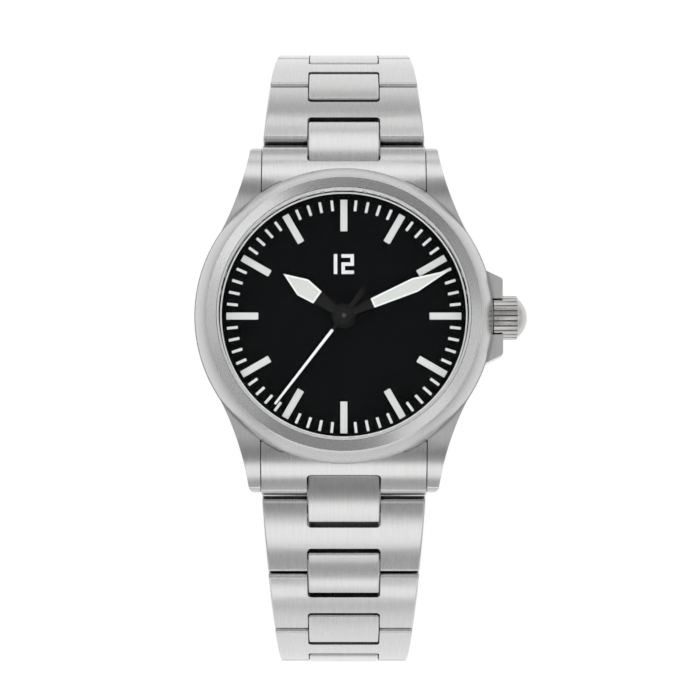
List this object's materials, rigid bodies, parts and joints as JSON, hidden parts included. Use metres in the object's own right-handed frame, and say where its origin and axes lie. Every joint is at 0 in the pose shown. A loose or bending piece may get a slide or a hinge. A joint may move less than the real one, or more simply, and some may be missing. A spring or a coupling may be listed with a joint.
{
  "type": "field watch",
  "caption": "Three-hand field watch: round brushed steel case, black dial with baton markers, fluted crown, and a tapering bracelet of H-shaped links with a folding clasp.",
  "frame": {"origin": "middle of the case back's outer face", "axes": "+Z out through the crystal, +Y to 12 o'clock, +X to the crown"},
  "size_m": [0.04, 0.0786, 0.0521],
  "materials": {
    "brushed_case_steel": "satin",
    "polished_steel": "polished",
    "sapphire_glass": "clear, domed edge",
    "gasket_rubber": "matte, pale",
    "black_dial": "matte black",
    "lume": "matte off-white",
    "white_print": "matte white ink",
    "plastic_ring": "matte",
    "nickelled_brass": "satin, nickelled",
    "battery_steel": "satin",
    "copper_coil": "lacquered wire",
    "wheel_brass": "satin",
    "hand_paint": "white, with a black stem"
  },
  "bodies": {
    "watch_head": {"case_body": "brushed_case_steel", "bezel": "brushed_case_steel", "crystal": "sapphire_glass", "crystal_and_back_gaskets": "gasket_rubber", "rehaut_ring": "polished_steel", "dial": "black_dial", "hour_markers": "lume", "dial_print": "white_print", "movement_holder": "plastic_ring", "case_back": "brushed_case_steel", "crown_tube": "brushed_case_steel", "main_plate": "nickelled_brass", "train_bridge": "nickelled_brass", "battery": "battery_steel", "motor_coil": "copper_coil", "lug_spring_bars": "brushed_case_steel", "end_link_12": "brushed_case_steel", "end_link_6": "brushed_case_steel"},
    "minute_train": {"cannon_pinion": "wheel_brass", "minute_hand": "hand_paint", "minute_hand_lume": "lume"},
    "hour_train": {"hour_wheel": "wheel_brass", "hour_hand": "hand_paint", "hour_hand_lume": "lume"},
    "seconds_train": {"seconds_wheel": "wheel_brass", "seconds_hand": "hand_paint"},
    "third_wheel": {"third_wheel": "wheel_brass"},
    "minute_wheel": {"minute_wheel": "wheel_brass"},
    "setting_lever": {"setting_lever": "brushed_case_steel"},
    "crown_and_stem": {"crown": "brushed_case_steel", "winding_stem": "brushed_case_steel"},
    "centre_link_12_1": {"centre_link_12_1": "brushed_case_steel"},
    "outer_link_12_1": {"outer_link_12_1": "brushed_case_steel"},
    "centre_link_12_2": {"centre_link_12_2": "brushed_case_steel"},
    "outer_link_12_2": {"outer_link_12_2": "brushed_case_steel"},
    "centre_link_12_3": {"centre_link_12_3": "brushed_case_steel"},
    "outer_link_12_3": {"outer_link_12_3": "brushed_case_steel"},
    "centre_link_12_4": {"centre_link_12_4": "brushed_case_steel"},
    "outer_link_12_4": {"outer_link_12_4": "brushed_case_steel"},
    "centre_link_12_5": {"centre_link_12_5": "brushed_case_steel"},
    "outer_link_12_5": {"outer_link_12_5": "brushed_case_steel"},
    "centre_link_12_6": {"centre_link_12_6": "brushed_case_steel"},
    "outer_link_12_6": {"outer_link_12_6": "brushed_case_steel"},
    "centre_link_6_1": {"centre_link_6_1": "brushed_case_steel"},
    "outer_link_6_1": {"outer_link_6_1": "brushed_case_steel"},
    "centre_link_6_2": {"centre_link_6_2": "brushed_case_steel"},
    "outer_link_6_2": {"outer_link_6_2": "brushed_case_steel"},
    "centre_link_6_3": {"centre_link_6_3": "brushed_case_steel"},
    "outer_link_6_3": {"outer_link_6_3": "brushed_case_steel"},
    "centre_link_6_4": {"centre_link_6_4": "brushed_case_steel"},
    "outer_link_6_4": {"outer_link_6_4": "brushed_case_steel"},
    "centre_link_6_5": {"centre_link_6_5": "brushed_case_steel"},
    "outer_link_6_5": {"outer_link_6_5": "brushed_case_steel"},
    "centre_link_6_6": {"centre_link_6_6": "brushed_case_steel"},
    "outer_link_6_6": {"outer_link_6_6": "brushed_case_steel"},
    "clasp_cover": {"clasp_cover": "brushed_case_steel"},
    "clasp_outer_blade": {"clasp_outer_blade": "brushed_case_steel"},
    "clasp_inner_blade": {"clasp_inner_blade": "brushed_case_steel"},
    "push_button_crown_side": {"push_button_crown_side": "brushed_case_steel"},
    "push_button_far_side": {"push_button_far_side": "brushed_case_steel"}
  },
  "joints": [
    {"name": "minute_hand_turn", "type": "hinge", "parent": "watch_head", "child": "minute_train", "pos_m": [0, 0, 0.0062], "axis": [0, 0, -1], "continuous": true},
    {"name": "hour_hand_turn", "type": "hinge", "parent": "watch_head", "child": "hour_train", "pos_m": [0, 0, 0.0062], "axis": [0, 0, -1], "continuous": true},
    {"name": "seconds_hand_turn", "type": "hinge", "parent": "watch_head", "child": "seconds_train", "pos_m": [0, 0, 0.0062], "axis": [0, 0, -1], "continuous": true},
    {"name": "third_wheel_turn", "type": "hinge", "parent": "watch_head", "child": "third_wheel", "pos_m": [0.00248, -0.00208, 0.003], "axis": [0, 0, -1], "continuous": true},
    {"name": "minute_wheel_turn", "type": "hinge", "parent": "watch_head", "child": "minute_wheel", "pos_m": [-0.00068, 0.00384, 0.0054], "axis": [0, 0, -1], "continuous": true},
    {"name": "crown_pull", "type": "slide", "parent": "watch_head", "child": "setting_lever", "axis": [1, 0, 0], "range_m": [0, 0.0012]},
    {"name": "crown_turn", "type": "hinge", "parent": "setting_lever", "child": "crown_and_stem", "pos_m": [0.018, 0, 0.00435], "axis": [1, 0, 0], "continuous": true},
    {"name": "pivot_12_1", "type": "hinge", "parent": "watch_head", "child": "centre_link_12_1", "pos_m": [0, 0.0196, 0.0026], "axis": [1, 0, 0], "range_deg": [0, 8]},
    {"name": "pivot_12_2", "type": "hinge", "parent": "centre_link_12_1", "child": "outer_link_12_1", "pos_m": [0, 0.02284, 0.00102], "axis": [1, 0, 0], "range_deg": [0, 13]},
    {"name": "pivot_12_3", "type": "hinge", "parent": "outer_link_12_1", "child": "centre_link_12_2", "pos_m": [0, 0.02781, -0.00301], "axis": [1, 0, 0], "range_deg": [0, 10.5]},
    {"name": "pivot_12_4", "type": "hinge", "parent": "centre_link_12_2", "child": "outer_link_12_2", "pos_m": [0, 0.03015, -0.00574], "axis": [1, 0, 0], "range_deg": [0, 10.5]},
    {"name": "pivot_12_5", "type": "hinge", "parent": "outer_link_12_2", "child": "centre_link_12_3", "pos_m": [0, 0.03335, -0.01129], "axis": [1, 0, 0], "range_deg": [0, 10]},
    {"name": "pivot_12_6", "type": "hinge", "parent": "centre_link_12_3", "child": "outer_link_12_3", "pos_m": [0, 0.03458, -0.01467], "axis": [1, 0, 0], "range_deg": [0, 10]},
    {"name": "pivot_12_7", "type": "hinge", "parent": "outer_link_12_3", "child": "centre_link_12_4", "pos_m": [0, 0.03569, -0.02097], "axis": [1, 0, 0], "range_deg": [0, 15.5]},
    {"name": "pivot_12_8", "type": "hinge", "parent": "centre_link_12_4", "child": "outer_link_12_4", "pos_m": [0, 0.03533, -0.02455], "axis": [1, 0, 0], "range_deg": [0, 15.5]},
    {"name": "pivot_12_9", "type": "hinge", "parent": "outer_link_12_4", "child": "centre_link_12_5", "pos_m": [0, 0.03296, -0.0305], "axis": [1, 0, 0], "range_deg": [0, 15.5]},
    {"name": "pivot_12_10", "type": "hinge", "parent": "centre_link_12_5", "child": "outer_link_12_5", "pos_m": [0, 0.03077, -0.03336], "axis": [1, 0, 0], "range_deg": [0, 15.5]},
    {"name": "pivot_12_11", "type": "hinge", "parent": "outer_link_12_5", "child": "centre_link_12_6", "pos_m": [0, 0.02564, -0.03718], "axis": [1, 0, 0], "range_deg": [0, 15.5]},
    {"name": "pivot_12_12", "type": "hinge", "parent": "centre_link_12_6", "child": "outer_link_12_6", "pos_m": [0, 0.02228, -0.03847], "axis": [1, 0, 0], "range_deg": [0, 15.5]},
    {"name": "pivot_6_1", "type": "hinge", "parent": "watch_head", "child": "centre_link_6_1", "pos_m": [0, -0.0196, 0.0026], "axis": [-1, 0, 0], "range_deg": [0, 8]},
    {"name": "pivot_6_2", "type": "hinge", "parent": "centre_link_6_1", "child": "outer_link_6_1", "pos_m": [0, -0.02289, 0.00114], "axis": [-1, 0, 0], "range_deg": [0, 6]},
    {"name": "pivot_6_3", "type": "hinge", "parent": "outer_link_6_1", "child": "centre_link_6_2", "pos_m": [0, -0.02843, -0.00206], "axis": [-1, 0, 0], "range_deg": [0, 9.5]},
    {"name": "pivot_6_4", "type": "hinge", "parent": "centre_link_6_2", "child": "outer_link_6_2", "pos_m": [0, -0.03121, -0.00435], "axis": [-1, 0, 0], "range_deg": [0, 9.5]},
    {"name": "pivot_6_5", "type": "hinge", "parent": "outer_link_6_2", "child": "centre_link_6_3", "pos_m": [0, -0.03541, -0.00918], "axis": [-1, 0, 0], "range_deg": [0, 9.5]},
    {"name": "pivot_6_6", "type": "hinge", "parent": "centre_link_6_3", "child": "outer_link_6_3", "pos_m": [0, -0.03729, -0.01225], "axis": [-1, 0, 0], "range_deg": [0, 9.5]},
    {"name": "pivot_6_7", "type": "hinge", "parent": "outer_link_6_3", "child": "centre_link_6_4", "pos_m": [0, -0.03969, -0.01819], "axis": [-1, 0, 0], "range_deg": [0, 15.5]},
    {"name": "pivot_6_8", "type": "hinge", "parent": "centre_link_6_4", "child": "outer_link_6_4", "pos_m": [0, -0.04007, -0.02177], "axis": [-1, 0, 0], "range_deg": [0, 15.5]},
    {"name": "pivot_6_9", "type": "hinge", "parent": "outer_link_6_4", "child": "centre_link_6_5", "pos_m": [0, -0.039, -0.02808], "axis": [-1, 0, 0], "range_deg": [0, 15.5]},
    {"name": "pivot_6_10", "type": "hinge", "parent": "centre_link_6_5", "child": "outer_link_6_5", "pos_m": [0, -0.03745, -0.03133], "axis": [-1, 0, 0], "range_deg": [0, 15.5]},
    {"name": "pivot_6_11", "type": "hinge", "parent": "outer_link_6_5", "child": "centre_link_6_6", "pos_m": [0, -0.03323, -0.03613], "axis": [-1, 0, 0], "range_deg": [0, 15.5]},
    {"name": "pivot_6_12", "type": "hinge", "parent": "centre_link_6_6", "child": "outer_link_6_6", "pos_m": [0, -0.0302, -0.03809], "axis": [-1, 0, 0], "range_deg": [0, 15.5]},
    {"name": "clasp_cover_pivot", "type": "hinge", "parent": "outer_link_6_6", "child": "clasp_cover", "pos_m": [0, -0.02409, -0.03997], "axis": [-1, 0, 0], "range_deg": [0, 15]},
    {"name": "clasp_cover_hinge", "type": "hinge", "parent": "clasp_cover", "child": "clasp_outer_blade", "pos_m": [0, 0.01191, -0.03949], "axis": [-1, 0, 0], "range_deg": [0, 85]},
    {"name": "clasp_blade_hinge", "type": "hinge", "parent": "clasp_outer_blade", "child": "clasp_inner_blade", "pos_m": [0, -0.01759, -0.03979], "axis": [1, 0, 0], "range_deg": [0, 95]},
    {"name": "button_press_crown_side", "type": "slide", "parent": "clasp_cover", "child": "push_button_crown_side", "axis": [-1, 0, 0], "range_m": [0, 0.0006], "stiffness_N_per_m": 600},
    {"name": "button_press_far_side", "type": "slide", "parent": "clasp_cover", "child": "push_button_far_side", "axis": [1, 0, 0], "range_m": [0, 0.0006], "stiffness_N_per_m": 600}
  ],
  "couplings": [
    {"joint": "hour_hand_turn", "follows": "minute_hand_turn", "ratio": 0.083333},
    {"joint": "seconds_hand_turn", "follows": "minute_hand_turn", "ratio": 60},
    {"joint": "third_wheel_turn", "follows": "minute_hand_turn", "ratio": -8},
    {"joint": "minute_wheel_turn", "follows": "minute_hand_turn", "ratio": -0.25}
  ]
}
